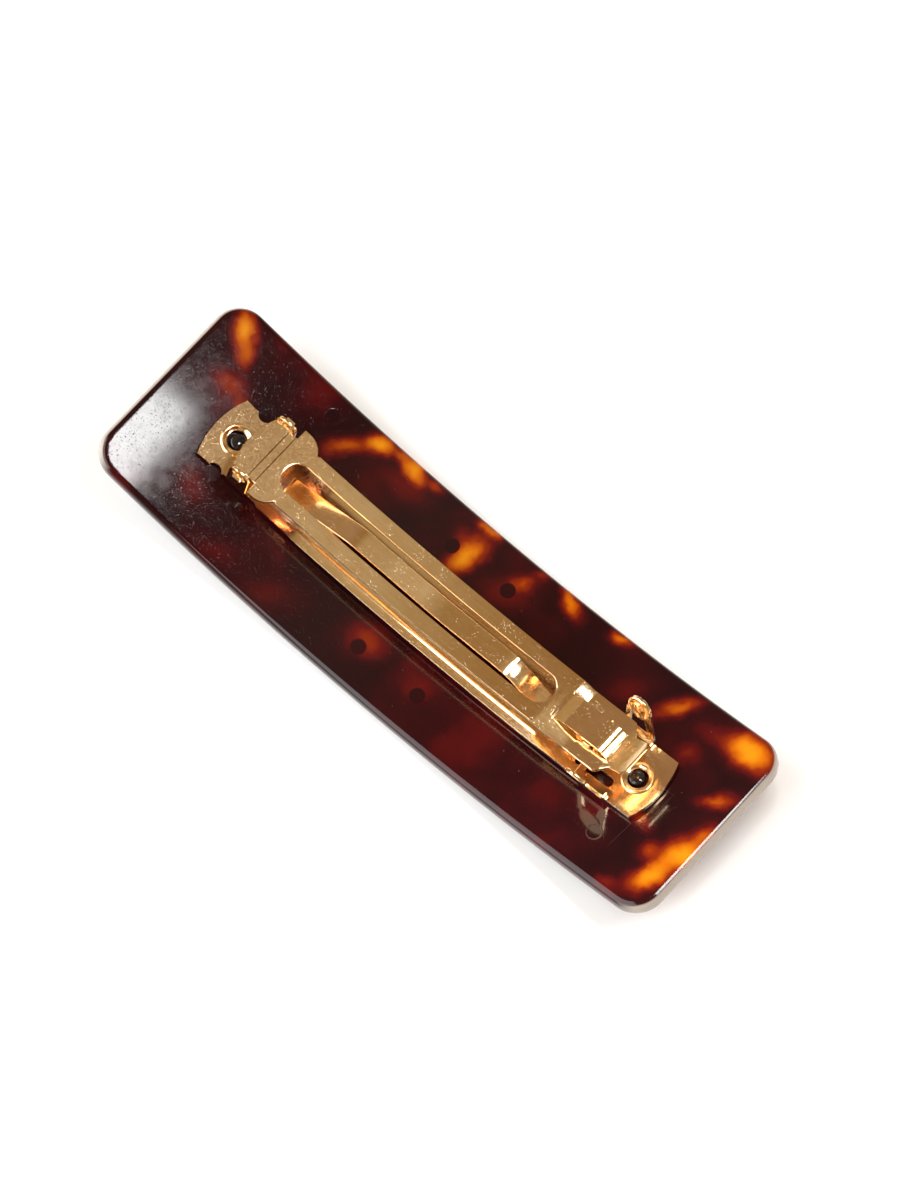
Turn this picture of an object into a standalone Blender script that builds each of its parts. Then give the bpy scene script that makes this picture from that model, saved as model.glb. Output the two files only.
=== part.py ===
"""Barrette with a French clip: an arched tortoiseshell plate and a gold plated spring clasp.

+X runs along the clip from the hinge end to the catch end, +Y across it, and +Z is up.
The clip lies on its convex decorated front, with the clasp closed on top.
"""
import math

import bmesh
import bpy
from mathutils import Vector
from mathutils.geometry import delaunay_2d_cdt

MM = 0.001

# Arched plate
PLATE_LENGTH = 100.0
PLATE_WIDTH = 30.4
PLATE_THICK = 2.5
PLATE_RADIUS = 155.0
PLATE_CORNER = 4.2
PLATE_EDGE = 0.9

# Clasp strip, which is less arched than the plate and meets it near its ends
CLASP_RADIUS = 200.0
CLASP_HALF_LENGTH = 40.0
GAP = 0.3
BASE_HALF_WIDTH = 5.05
BASE_THICK = 0.7
TAB_BULGE = 1.0
NOTCH_START = 36.9
NOTCH_END = 34.5
NOTCH_DEPTH = 0.9
NOTCH_SLOPE = 0.5
EYELET_PLACE = 36.25
EYELET_HOLE = 1.45
EYELET_RIM = 2.15
EYELET_RIM_HEIGHT = 0.3
EYELET_STEP = 0.1
RIB_PLACE = 3.9
RIB_HALF_WIDTH = 0.6
RIB_HEIGHT = 0.3
RIB_START = -22.6
RIB_END = 21.5
WINDOW_START = 27.7
WINDOW_END = 34.2
WINDOW_PLACE = 2.85
WINDOW_HALF_WIDTH = 0.75

# Hinge of the closing arm
PIVOT_PLACE = -32.2
PIVOT_HEIGHT = 6.6
EAR_RADIUS = 1.7
EAR_INNER = 4.55
EAR_THICK = 0.45
EAR_HOLE = 1.2
LUG_HALF_LENGTH = 0.75
LUG_REACH = 5.65

# Closing arm, whose sheet steps down where its raised bridge begins
ARM_THICK = 0.6
ARM_HALF_WIDTH = 4.5
ARM_NECK_HALF_WIDTH = 4.25
TONGUE_END = -34.8
TONGUE_BULGE = 1.0
SHOULDER_START = -29.85
SHOULDER_END = -25.9
SHOULDER_HALF_WIDTH = 5.9
SHOULDER_ROUND = 2.2
SHOULDER_SLOPE = 0.8
SLOT_START = -28.1
SLOT_END = 21.4
SLOT_HALF_WIDTH = 2.25
STEP_DOWN_START = 23.3
STEP_DOWN_END = 25.7
STEP_DOWN = 0.7
WING_END = 33.0
NOSE_START = 34.25
NOSE_END = 37.1
NOSE_HALF_WIDTH = 2.75
NOSE_CORNER = 0.8
NOSE_RISE = 1.7
BRIDGE_START = 23.6
BRIDGE_FLAT_START = 25.9
BRIDGE_FLAT_END = 30.3
BRIDGE_END = 33.1
BRIDGE_HALF_WIDTH = 2.1
BRIDGE_TOP = 7.5
BRIDGE_SLIT = 0.1

# Bow spring in the slot of the arm: place along the clip, height of its middle line
SPRING_HALF_WIDTH = 1.5
SPRING_THICK = 0.4
SPRING_LINE = (
    (-27.0, 1.2),
    (-25.6, 1.2),
    (-15.3, 5.6),
    (-7.5, 5.75),
    (0.0, 5.5),
    (7.5, 5.7),
    (12.4, 5.75),
    (14.0, 5.35),
    (16.6, 3.5),
    (19.3, 1.3),
)

# Catch levers, one on each side
LEVER_PLACE = 29.7
LEVER_HALF_WIDTH = 0.55
LEVER_AXIS_Y = 5.0
LEVER_AXIS_HEIGHT = 1.3
LEVER_FLOOR = 1.05
LEVER_THICK = 0.5
LEVER_FOOT_INNER = 4.4
LEVER_FOOT_OUTER = 5.5
LEVER_FOOT_END = 34.6
PAD_PLACE = 31.6
PAD_RADIUS = 2.0
PAD_THICK = 0.6
PAD_LEAN = math.radians(14.0)
PAD_ROOT_HEIGHT = 1.6
PAD_REACH = 4.6
STEM_FOOT = -0.5
STRAP_INSET = 0.12
STRAP_LINE = ((1.0, -1.1), (1.9, 0.1), (3.0, -4.4), (3.0, -5.0), (2.2, -5.0), (1.0, -1.9))
HOOK_INNER = 1.2
HOOK_OUTER = 2.5
HOOK_POST_THICK = 0.45
HOOK_FLOOR = 6.5
HOOK_THICK = 0.3

# Pegs of the plate that hold the clasp at its eyelets: radius and height of each ring, then the crown
PEG_RINGS = ((1.1, 0.3), (1.1, 1.0), (0.825, 1.315))
PEG_CROWN = 1.45

# Length of the flat facets along both arcs, one of which is the foot in the middle
STEP = 2.5


def clear_scene():
    for old in list(bpy.data.objects):
        bpy.data.objects.remove(old, do_unlink=True)


def make_material(name, colour, metallic, roughness):
    material = bpy.data.materials.new(name)
    material.use_nodes = True
    shader = material.node_tree.nodes["Principled BSDF"]
    shader.inputs["Base Color"].default_value = (*colour, 1.0)
    shader.inputs["Metallic"].default_value = metallic
    shader.inputs["Roughness"].default_value = roughness
    return material


# Places on the two arcs

def on_plate(place, across, height):
    """World place in mm of a point at an arc length along the plate, above its concave face."""
    angle = place / PLATE_RADIUS
    radius = PLATE_RADIUS - height
    centre_height = (PLATE_RADIUS + PLATE_THICK) * math.cos(STEP / 2 / PLATE_RADIUS)
    return Vector((radius * math.sin(angle), across, centre_height - radius * math.cos(angle)))


def clasp_centre_height():
    tip_angle = CLASP_HALF_LENGTH / CLASP_RADIUS
    tip = on_plate(CLASP_HALF_LENGTH, 0.0, GAP)
    return tip.z + CLASP_RADIUS * math.cos(tip_angle)


def on_clasp(place, across, height):
    """World place in mm of a point along the clasp, above the underside of its base."""
    angle = place / CLASP_RADIUS
    radius = CLASP_RADIUS - height
    return Vector((radius * math.sin(angle), across, clasp_centre_height() - radius * math.cos(angle)))


# Flat shapes, drawn straight and then bent onto an arc

def arc_points(centre, radius, start, end, count):
    """Points on a circle from one angle to another, in degrees, with both ends."""
    points = []
    for index in range(count + 1):
        angle = math.radians(start + (end - start) * index / count)
        points.append((centre[0] + radius * math.cos(angle), centre[1] + radius * math.sin(angle)))
    return points


def circle_points(centre, radius, count=20):
    return arc_points(centre, radius, 0.0, 360.0, count)[:-1]


def slot_points(start, end, across, half_width, count=8):
    """A long hole with round ends along X."""
    right = arc_points((end - half_width, across), half_width, -90.0, 90.0, count)
    left = arc_points((start + half_width, across), half_width, 90.0, 270.0, count)
    return right + left


def mirrored_outline(half):
    """A whole outline from its +Y half, listed from -X to +X."""
    other = [(x, -y) for x, y in reversed(half) if abs(y) > 1e-6]
    return half + other


def slab(outline, holes, bottom, top):
    """A flat plate with holes, as a bmesh in mm, before it is bent."""
    points = []
    edges = []
    for loop in [outline] + holes:
        first = len(points)
        points.extend(Vector(point) for point in loop)
        edges.extend((first + i, first + (i + 1) % len(loop)) for i in range(len(loop)))
    places, _, faces, *_ = delaunay_2d_cdt(points, edges, [], 1, 1e-6)
    mesh = bmesh.new()
    corners = [mesh.verts.new((place.x, place.y, bottom)) for place in places]
    for face in faces:
        middle = sum((places[i] for i in face), Vector((0.0, 0.0))) / len(face)
        if any(inside(middle, hole) for hole in holes) or not inside(middle, outline):
            continue
        mesh.faces.new([corners[i] for i in face])
    loose = [vert for vert in mesh.verts if not vert.link_faces]
    bmesh.ops.delete(mesh, geom=loose, context="VERTS")
    raised = bmesh.ops.extrude_face_region(mesh, geom=mesh.faces[:])["geom"]
    lifted = [item for item in raised if isinstance(item, bmesh.types.BMVert)]
    bmesh.ops.translate(mesh, vec=(0.0, 0.0, top - bottom), verts=lifted)
    bmesh.ops.recalc_face_normals(mesh, faces=mesh.faces[:])
    return mesh


def inside(point, loop):
    """True where a point lies inside a closed loop."""
    crossings = False
    for index, (x1, y1) in enumerate(loop):
        x0, y0 = loop[index - 1]
        if (y0 > point[1]) != (y1 > point[1]):
            cut = x0 + (point[1] - y0) * (x1 - x0) / (y1 - y0)
            if cut > point[0]:
                crossings = not crossings
    return crossings


def block(low, high):
    """A box between two corners, as a bmesh."""
    outline = [(low[0], low[1]), (high[0], low[1]), (high[0], high[1]), (low[0], high[1])]
    return slab(outline, [], low[2], high[2])


def profile_solid(profile, side_a, side_b):
    """A side view of (x, z) points, extruded from one Y to another."""
    mesh = bmesh.new()
    near = [mesh.verts.new((x, side_a, z)) for x, z in profile]
    mesh.faces.new(near)
    raised = bmesh.ops.extrude_face_region(mesh, geom=mesh.faces[:])["geom"]
    lifted = [item for item in raised if isinstance(item, bmesh.types.BMVert)]
    bmesh.ops.translate(mesh, vec=(0.0, side_b - side_a, 0.0), verts=lifted)
    bmesh.ops.recalc_face_normals(mesh, faces=mesh.faces[:])
    return mesh


def strip_profile(line, thick):
    """The side view of a strip of even thickness that follows a line of (x, z) points."""
    upper = []
    lower = []
    for index, point in enumerate(line):
        before = Vector(line[max(index - 1, 0)])
        after = Vector(line[min(index + 1, len(line) - 1)])
        along = (after - before).normalized()
        normal = Vector((-along.y, along.x))
        upper.append(tuple(Vector(point) + normal * thick / 2))
        lower.append(tuple(Vector(point) - normal * thick / 2))
    return upper + lower[::-1]


def smooth_line(line, pieces):
    """A Catmull-Rom curve through the points, with the given pieces between each two."""
    points = [Vector(point) for point in line]
    result = []
    for index in range(len(points) - 1):
        p0 = points[max(index - 1, 0)]
        p1 = points[index]
        p2 = points[index + 1]
        p3 = points[min(index + 2, len(points) - 1)]
        for step in range(pieces):
            t = step / pieces
            result.append(tuple(0.5 * (2 * p1 + (p2 - p0) * t + (2 * p0 - 5 * p1 + 4 * p2 - p3) * t ** 2
                                       + (3 * p1 - p0 - 3 * p2 + p3) * t ** 3)))
    result.append(tuple(points[-1]))
    return result


def cut_at(mesh, place):
    geometry = mesh.verts[:] + mesh.edges[:] + mesh.faces[:]
    bmesh.ops.bisect_plane(mesh, geom=geometry, plane_co=(place, 0, 0), plane_no=(1, 0, 0), dist=1e-4)


def cut_across(mesh):
    """Cuts a straight mesh across every STEP along X, so that it can bend with a flat facet at its middle."""
    low = min(vert.co.x for vert in mesh.verts)
    high = max(vert.co.x for vert in mesh.verts)
    place = (math.ceil(low / STEP) - 0.5) * STEP
    while place < high:
        cut_at(mesh, place)
        place += STEP


def bend(mesh, place_on_arc):
    cut_across(mesh)
    for vert in mesh.verts:
        vert.co = place_on_arc(vert.co.x, vert.co.y, vert.co.z) * MM


def add_object(name, mesh, material, origin=Vector((0.0, 0.0, 0.0))):
    """Makes an object from a bmesh in metres, with its own origin."""
    bmesh.ops.translate(mesh, vec=-origin, verts=mesh.verts[:])
    data = bpy.data.meshes.new(name)
    mesh.to_mesh(data)
    mesh.free()
    data.shade_smooth()
    data.set_sharp_from_angle(angle=math.radians(30.0))
    data.materials.append(material)
    made = bpy.data.objects.new(name, data)
    made.location = origin
    bpy.context.scene.collection.objects.link(made)
    return made


def fuse(shapes, cutters=()):
    """One closed body from straight bmeshes: the first is joined with the others and then cut."""
    made = []
    for number, mesh in enumerate(list(shapes) + list(cutters)):
        data = bpy.data.meshes.new("straight_%d" % number)
        mesh.to_mesh(data)
        mesh.free()
        made.append(bpy.data.objects.new(data.name, data))
        bpy.context.scene.collection.objects.link(made[-1])
    for number, other in enumerate(made[1:], start=1):
        modifier = made[0].modifiers.new(other.name, "BOOLEAN")
        modifier.operation = "UNION" if number < len(shapes) else "DIFFERENCE"
        modifier.solver = "EXACT"
        modifier.object = other
    bpy.context.view_layer.update()
    result = bmesh.new()
    result.from_object(made[0], bpy.context.evaluated_depsgraph_get())
    for old in made:
        bpy.data.objects.remove(old, do_unlink=True)
    bmesh.ops.triangulate(result, faces=result.faces[:])
    return result


# Plate

def plate_outline(inset):
    """A rectangle with round corners, drawn in from the plate's edge."""
    reach_x = PLATE_LENGTH / 2 - PLATE_CORNER
    reach_y = PLATE_WIDTH / 2 - PLATE_CORNER
    radius = PLATE_CORNER - inset
    outline = []
    for sign_x, sign_y, start in ((1, 1, 0.0), (-1, 1, 90.0), (-1, -1, 180.0), (1, -1, 270.0)):
        outline.extend(arc_points((sign_x * reach_x, sign_y * reach_y), radius, start, start + 90.0, 6))
    return outline


def build_plate(material):
    """The plate as rings of its outline, one above another, rounded at both faces."""
    rings = []
    for side, start in ((-1, 0), (1, 0)):
        steps = range(4) if side < 0 else range(3, -1, -1)
        for step in steps:
            angle = math.radians(30.0 * step)
            inset = PLATE_EDGE * (1.0 - math.sin(angle))
            depth = PLATE_EDGE * (1.0 - math.cos(angle))
            rings.append((inset, -PLATE_THICK + depth if side < 0 else -depth))
    mesh = bmesh.new()
    loops = [[mesh.verts.new((x, y, height)) for x, y in plate_outline(inset)] for inset, height in rings]
    for lower, upper in zip(loops, loops[1:]):
        for index in range(len(lower)):
            after = (index + 1) % len(lower)
            mesh.faces.new((lower[index], lower[after], upper[after], upper[index]))
    mesh.faces.new(loops[0][::-1])
    mesh.faces.new(loops[-1])
    bend(mesh, on_plate)
    add_object("plate", mesh, material)


def build_pegs(material):
    """Two domed pegs that stand in the eyelets of the base."""
    for name, place in (("peg_hinge_end", -EYELET_PLACE), ("peg_catch_end", EYELET_PLACE)):
        mesh = bmesh.new()
        loops = []
        for radius, height in PEG_RINGS:
            loops.append([mesh.verts.new((x, y, height)) for x, y in circle_points((place, 0.0), radius)])
        crown = mesh.verts.new((place, 0.0, PEG_CROWN))
        for lower, upper in zip(loops, loops[1:]):
            for index in range(len(lower)):
                after = (index + 1) % len(lower)
                mesh.faces.new((lower[index], lower[after], upper[after], upper[index]))
        for index in range(len(loops[-1])):
            mesh.faces.new((loops[-1][index], loops[-1][(index + 1) % len(loops[-1])], crown))
        mesh.faces.new(loops[0][::-1])
        bend(mesh, on_plate)
        add_object(name, mesh, material)


# Base with its ears

def round_end(tip, bulge, half_width):
    """Three points from the tip of a gently round end to its corner; the bulge points into the strip."""
    return [(tip, 0.0), (tip + bulge / 4, half_width / 2), (tip + bulge, half_width)]


def base_half_outline():
    notch_floor = BASE_HALF_WIDTH - NOTCH_DEPTH
    left = round_end(-CLASP_HALF_LENGTH, TAB_BULGE, BASE_HALF_WIDTH)
    right = round_end(CLASP_HALF_LENGTH, -TAB_BULGE, BASE_HALF_WIDTH)
    notch = [
        (-NOTCH_START, BASE_HALF_WIDTH),
        (-NOTCH_START + NOTCH_SLOPE, notch_floor),
        (-NOTCH_END - NOTCH_SLOPE, notch_floor),
        (-NOTCH_END, BASE_HALF_WIDTH),
    ]
    return left + notch + right[::-1]


def ear_profile():
    foot = BASE_THICK / 2
    round_top = arc_points((PIVOT_PLACE, PIVOT_HEIGHT), EAR_RADIUS, 0.0, 180.0, 12)
    return [(PIVOT_PLACE + EAR_RADIUS, foot)] + round_top + [(PIVOT_PLACE - EAR_RADIUS, foot)]


def build_base(material):
    holes = [circle_points((place, 0.0), EYELET_HOLE) for place in (-EYELET_PLACE, EYELET_PLACE)]
    for side in (-1, 1):
        holes.append(slot_points(WINDOW_START, WINDOW_END, side * WINDOW_PLACE, WINDOW_HALF_WIDTH))
    shapes = [slab(mirrored_outline(base_half_outline()), holes, 0.0, BASE_THICK)]
    for place in (-EYELET_PLACE, EYELET_PLACE):
        inner = circle_points((place, 0.0), EYELET_HOLE + EYELET_STEP)
        shapes.append(slab(circle_points((place, 0.0), EYELET_RIM), [inner],
                           BASE_THICK / 2, BASE_THICK + EYELET_RIM_HEIGHT))
    for side in (-1, 1):
        near = side * RIB_PLACE - RIB_HALF_WIDTH
        far = side * RIB_PLACE + RIB_HALF_WIDTH
        shapes.append(block((RIB_START, near, BASE_THICK / 2), (RIB_END, far, BASE_THICK + RIB_HEIGHT)))
        shapes.append(profile_solid(ear_profile(), side * EAR_INNER, side * (EAR_INNER + EAR_THICK)))
    bore = profile_solid(circle_points((PIVOT_PLACE, PIVOT_HEIGHT), EAR_HOLE), -LUG_REACH, LUG_REACH)
    mesh = fuse(shapes, [bore])
    bend(mesh, on_clasp)
    add_object("base", mesh, material)


# Closing arm

def arm_half_outline():
    shoulder_middle = (SHOULDER_HALF_WIDTH * 3 + ARM_HALF_WIDTH * 2) / 5
    return round_end(TONGUE_END, TONGUE_BULGE, ARM_NECK_HALF_WIDTH) + [
        (PIVOT_PLACE - LUG_HALF_LENGTH, ARM_NECK_HALF_WIDTH),
        (PIVOT_PLACE - LUG_HALF_LENGTH, LUG_REACH),
        (PIVOT_PLACE + LUG_HALF_LENGTH, LUG_REACH),
        (PIVOT_PLACE + LUG_HALF_LENGTH, ARM_NECK_HALF_WIDTH),
        (SHOULDER_START, ARM_NECK_HALF_WIDTH),
        (SHOULDER_START, SHOULDER_HALF_WIDTH),
        (SHOULDER_END - SHOULDER_ROUND, SHOULDER_HALF_WIDTH),
        (SHOULDER_END - SHOULDER_SLOPE, shoulder_middle),
        (SHOULDER_END, ARM_HALF_WIDTH),
        (WING_END, ARM_HALF_WIDTH),
        (NOSE_START, NOSE_HALF_WIDTH),
        (NOSE_END - NOSE_CORNER, NOSE_HALF_WIDTH),
        (NOSE_END, NOSE_HALF_WIDTH - NOSE_CORNER),
        (NOSE_END, 0.0),
    ]


def share(place, start, end):
    """How far a place lies between two others, from 0 to 1."""
    return max(0.0, min(1.0, (place - start) / (end - start)))


def arm_lift(place):
    """Height of the arm's sheet above its level at the hinge: the step down and the upturned nose."""
    nose = NOSE_RISE * share(place, WING_END, NOSE_END) ** 1.5
    return nose - STEP_DOWN * share(place, STEP_DOWN_START, STEP_DOWN_END)


def bridge_line():
    """Middle line of the raised bridge, which leaves the sheet above its step and meets it at the wings."""
    sheet_end = PIVOT_HEIGHT + arm_lift(BRIDGE_END)
    turn = BRIDGE_END - BRIDGE_FLAT_END
    return [
        (BRIDGE_START - 0.8, PIVOT_HEIGHT),
        (BRIDGE_START, PIVOT_HEIGHT),
        (BRIDGE_FLAT_START - 0.4, BRIDGE_TOP - 0.1),
        (BRIDGE_FLAT_START, BRIDGE_TOP),
        (BRIDGE_FLAT_END, BRIDGE_TOP),
        (BRIDGE_FLAT_END + turn / 2, BRIDGE_TOP - 0.2),
        (BRIDGE_END, sheet_end + 0.1),
        (BRIDGE_END + 0.8, PIVOT_HEIGHT + arm_lift(BRIDGE_END + 0.8)),
    ]


def build_arm(material):
    low = PIVOT_HEIGHT - ARM_THICK / 2
    slot = slot_points(SLOT_START, SLOT_END, 0.0, SLOT_HALF_WIDTH, 10)
    side = BRIDGE_HALF_WIDTH + BRIDGE_SLIT
    opening = [(BRIDGE_START, -side), (BRIDGE_END, -side), (BRIDGE_END, side), (BRIDGE_START, side)]
    sheet = slab(mirrored_outline(arm_half_outline()), [slot, opening], low, low + ARM_THICK)
    for place in (STEP_DOWN_START, STEP_DOWN_END, WING_END, NOSE_START, (NOSE_START + NOSE_END) / 2):
        cut_at(sheet, place)
    for vert in sheet.verts:
        vert.co.z += arm_lift(vert.co.x)
    bridge = profile_solid(strip_profile(smooth_line(bridge_line(), 2), ARM_THICK),
                           -BRIDGE_HALF_WIDTH, BRIDGE_HALF_WIDTH)
    mesh = fuse([sheet, bridge])
    bend(mesh, on_clasp)
    add_object("arm", mesh, material, on_clasp(PIVOT_PLACE, 0.0, PIVOT_HEIGHT) * MM)


# Bow spring

def build_spring(material):
    profile = strip_profile(smooth_line(SPRING_LINE, 3), SPRING_THICK)
    mesh = profile_solid(profile, -SPRING_HALF_WIDTH, SPRING_HALF_WIDTH)
    for vert in mesh.verts:
        vert.co = on_clasp(vert.co.x, vert.co.y, vert.co.z) * MM
    add_object("bow_spring", mesh, material)


# Catch levers

def lever_shapes(side):
    """The pieces of one lever as straight bmeshes, at +Y or -Y."""
    left = LEVER_PLACE - LEVER_HALF_WIDTH
    right = LEVER_PLACE + LEVER_HALF_WIDTH

    def across(a, b):
        return min(side * a, side * b), max(side * a, side * b)

    foot_y = across(LEVER_FOOT_INNER, LEVER_FOOT_OUTER)
    foot = block((left, foot_y[0], LEVER_FLOOR), (LEVER_FOOT_END, foot_y[1], LEVER_FLOOR + LEVER_THICK))
    strip_y = across(HOOK_INNER, LEVER_AXIS_Y)
    strip = block((left, strip_y[0], LEVER_FLOOR), (right, strip_y[1], LEVER_FLOOR + LEVER_THICK))
    post_y = across(HOOK_INNER, HOOK_INNER + HOOK_POST_THICK)
    post = block((left, post_y[0], LEVER_FLOOR), (right, post_y[1], HOOK_FLOOR + HOOK_THICK))
    lip_y = across(HOOK_INNER, HOOK_OUTER)
    lip = block((left, lip_y[0], HOOK_FLOOR), (right, lip_y[1], HOOK_FLOOR + HOOK_THICK))
    stem_y = across(0.0, PAD_THICK)
    stem = block((left, stem_y[0], STEM_FOOT), (right, stem_y[1], PAD_REACH - PAD_RADIUS / 2))
    strap_outline = [(PAD_PLACE + x, PAD_REACH + z) for x, z in STRAP_LINE]
    strap = profile_solid(strap_outline, *across(STRAP_INSET, PAD_THICK - STRAP_INSET))
    pad = profile_solid(circle_points((PAD_PLACE, PAD_REACH), PAD_RADIUS, 24), 0.0, side * PAD_THICK)
    for leaning in (stem, strap, pad):
        for vert in leaning.verts:
            y, z = vert.co.y, vert.co.z
            vert.co.y = side * LEVER_AXIS_Y + y * math.cos(PAD_LEAN) + side * z * math.sin(PAD_LEAN)
            vert.co.z = PAD_ROOT_HEIGHT + z * math.cos(PAD_LEAN) - side * y * math.sin(PAD_LEAN)
    return [foot, strip, post, lip, stem, strap, pad]


def build_lever(name, side, material):
    mesh = fuse(lever_shapes(side))
    bend(mesh, on_clasp)
    add_object(name, mesh, material, on_clasp(LEVER_PLACE, side * LEVER_AXIS_Y, LEVER_AXIS_HEIGHT) * MM)


def main():
    clear_scene()
    shell = make_material("tortoiseshell_acetate", (0.03, 0.008, 0.006), 0.0, 0.12)
    gold = make_material("gold_plated_steel", (0.75, 0.48, 0.2), 1.0, 0.2)
    build_plate(shell)
    build_pegs(shell)
    build_base(gold)
    build_spring(gold)
    build_arm(gold)
    build_lever("catch_lever_far", 1, gold)
    build_lever("catch_lever_near", -1, gold)


main()
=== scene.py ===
"""Looks of the barrette: tortoiseshell acetate plate and gold plated French clip, lying face down."""
import math

import bmesh
import bpy
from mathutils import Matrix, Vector
from mathutils.geometry import delaunay_2d_cdt

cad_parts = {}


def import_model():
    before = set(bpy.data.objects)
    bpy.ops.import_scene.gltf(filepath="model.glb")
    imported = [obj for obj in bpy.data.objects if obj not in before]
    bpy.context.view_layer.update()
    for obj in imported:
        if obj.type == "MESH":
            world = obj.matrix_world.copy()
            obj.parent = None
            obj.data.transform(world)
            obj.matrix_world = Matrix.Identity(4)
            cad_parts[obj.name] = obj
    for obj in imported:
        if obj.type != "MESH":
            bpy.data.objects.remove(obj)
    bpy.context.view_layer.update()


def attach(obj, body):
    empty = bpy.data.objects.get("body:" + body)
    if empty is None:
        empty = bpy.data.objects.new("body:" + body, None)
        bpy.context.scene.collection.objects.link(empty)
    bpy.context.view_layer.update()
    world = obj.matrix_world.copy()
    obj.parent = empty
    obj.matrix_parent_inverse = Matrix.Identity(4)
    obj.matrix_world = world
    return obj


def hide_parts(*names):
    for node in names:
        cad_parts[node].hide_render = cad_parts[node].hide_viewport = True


MM = 0.001

# Driving sizes in mm, the same as in the solids
PLATE_LENGTH = 99.96
PLATE_WIDTH = 30.4
PLATE_THICK = 2.5
PLATE_RADIUS = 155.0
PLATE_CORNER = 4.2
PLATE_EDGE = 0.9
PLATE_FACET = 2.5
PLATE_UNDERSIDE = 2.494
CLASP_RADIUS = 200.0
CLASP_HALF_LENGTH = 40.0
GAP = 0.3
BASE_HALF_WIDTH = 5.05
BASE_THICK = 0.7
BASE_WAIST = 0.3
EYELET_PLACE = 36.25
EYELET_HOLE = 1.45
RIB_PLACE = 3.7
RIB_HALF_WIDTH = 0.5
RIB_HEIGHT = 0.08
RIB_FOOT = 0.03
RIB_LOW_SHARE = 0.2
RIB_START = -22.6
RIB_END = 21.5
FLANK_START = -25.0
FLANK_END = 24.5
FLANK_RUN = 3.5
FLANK_INNER = 2.9
FLANK_DROP = 0.38
WINDOW_START = 27.7
WINDOW_END = 34.2
WINDOW_PLACE = 2.85
WINDOW_HALF_WIDTH = 0.75
PIVOT_PLACE = -32.2
PIVOT_HEIGHT = 6.6
EAR_RADIUS = 1.7
EAR_INNER = 4.55
EAR_THICK = 0.45
EAR_HOLE = 1.2
LUG_HALF_LENGTH = 0.75
LUG_REACH = 5.65
ARM_THICK = 0.6
ARM_HALF_WIDTH = 4.5
ARM_NECK_HALF_WIDTH = 4.25
TONGUE_END = -34.8
TONGUE_ROUND = 10.3
SHOULDER_START = -29.85
SHOULDER_END = -25.9
SHOULDER_HALF_WIDTH = 5.9
# Painted shade: two thin crease lines across the arm near the hinge, their places along and the size of each line
CREASE_SHADE_PLACES = (-31.3, -30.05)
CREASE_SHADE_SIZE = (0.00011, 0.0062, 0.0008)
# Painted shade: an almost black strip on the base below the bow spring
SHADE_STRIP_START = -18.0
SHADE_STRIP_END = 16.5
SHADE_STRIP_HALF_WIDTH = 1.25
# Painted reflection: a speckled reddish patch on the base near the hinge
RED_REFLECTION_START = -28.5
RED_REFLECTION_END = -21.4
SLOT_START = -28.1
SLOT_END = 21.4
SLOT_HALF_WIDTH = 2.25
STEP_DOWN_START = 23.3
STEP_DOWN_END = 25.7
STEP_DOWN = 0.7
STEP_DOWN_SPREAD = 2.4
WING_END = 33.0
NOSE_START = 34.25
NOSE_END = 37.1
NOSE_HALF_WIDTH = 2.75
NOSE_RISE = 1.7
BRIDGE_START = 23.6
BRIDGE_FLAT_START = 25.9
BRIDGE_FLAT_END = 30.3
BRIDGE_END = 33.1
BRIDGE_HALF_WIDTH = 2.1
BRIDGE_TOP = 7.5
BRIDGE_SLIT = 0.1
SPRING_HALF_WIDTH = 1.5
SPRING_THICK = 0.4
SPRING_LINE = (
    (-27.0, 1.0),
    (-25.6, 1.3),
    (-20.5, 3.3),
    (-17.2, 4.65),
    (-15.8, 5.2),
    (-14.8, 5.5),
    (-13.8, 5.66),
    (-12.6, 5.72),
    (-10.0, 5.75),
    (-7.5, 5.75),
    (0.0, 5.5),
    (7.5, 5.7),
    (10.0, 5.75),
    (12.9, 5.75),
    (13.9, 5.63),
    (14.9, 5.3),
    (15.8, 4.68),
    (17.1, 3.5),
    (19.3, 1.3),
)
LEVER_PLACE = 29.7
LEVER_HALF_WIDTH = 0.55
LEVER_AXIS_Y = 5.0
LEVER_AXIS_HEIGHT = 1.3
LEVER_FLOOR = 1.05
LEVER_THICK = 0.5
LEVER_FOOT_INNER = 4.4
LEVER_FOOT_OUTER = 5.5
LEVER_FOOT_END = 34.6
PAD_PLACE = 31.6
PAD_RADIUS = 2.0
PAD_THICK = 0.6
PAD_LEAN = math.radians(14.0)
PAD_ROOT_HEIGHT = 1.6
PAD_REACH = 4.6
STRAP_LINE = ((1.0, -1.1), (1.9, 0.1), (3.0, -4.4), (3.0, -5.0), (2.2, -5.0), (1.0, -1.9))
HOOK_INNER = 1.2
HOOK_OUTER = 2.5
HOOK_POST_THICK = 0.45
HOOK_FLOOR = 6.5
HOOK_THICK = 0.3
PEG_RADIUS = 1.1

# Pegs in the eyelets: end, place along, height of the straight part, height of the dome
PEGS = (("hinge", -EYELET_PLACE, 1.0, 0.25), ("catch", EYELET_PLACE, 1.05, 0.40))

# Fineness of the looks
FINE_STEP = 1.0
METAL_EDGE = 0.12
STRIP_EDGE = 0.18

# Camera, fitted to the photograph: image size in pixels, pixels a millimetre at the clip
IMAGE_HEIGHT = 1200
PIXELS_PER_MM = 7.447
CAMERA_DISTANCE = 1000.0
CAMERA_AZIMUTH = math.radians(41.7)
CAMERA_ELEVATION = math.radians(71.0)
CLIP_HEIGHT = 4.0
CLIP_RIGHT_PIXELS = -13.8
CLIP_DOWN_PIXELS = 17.4
SENSOR_HEIGHT = 36.0

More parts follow.
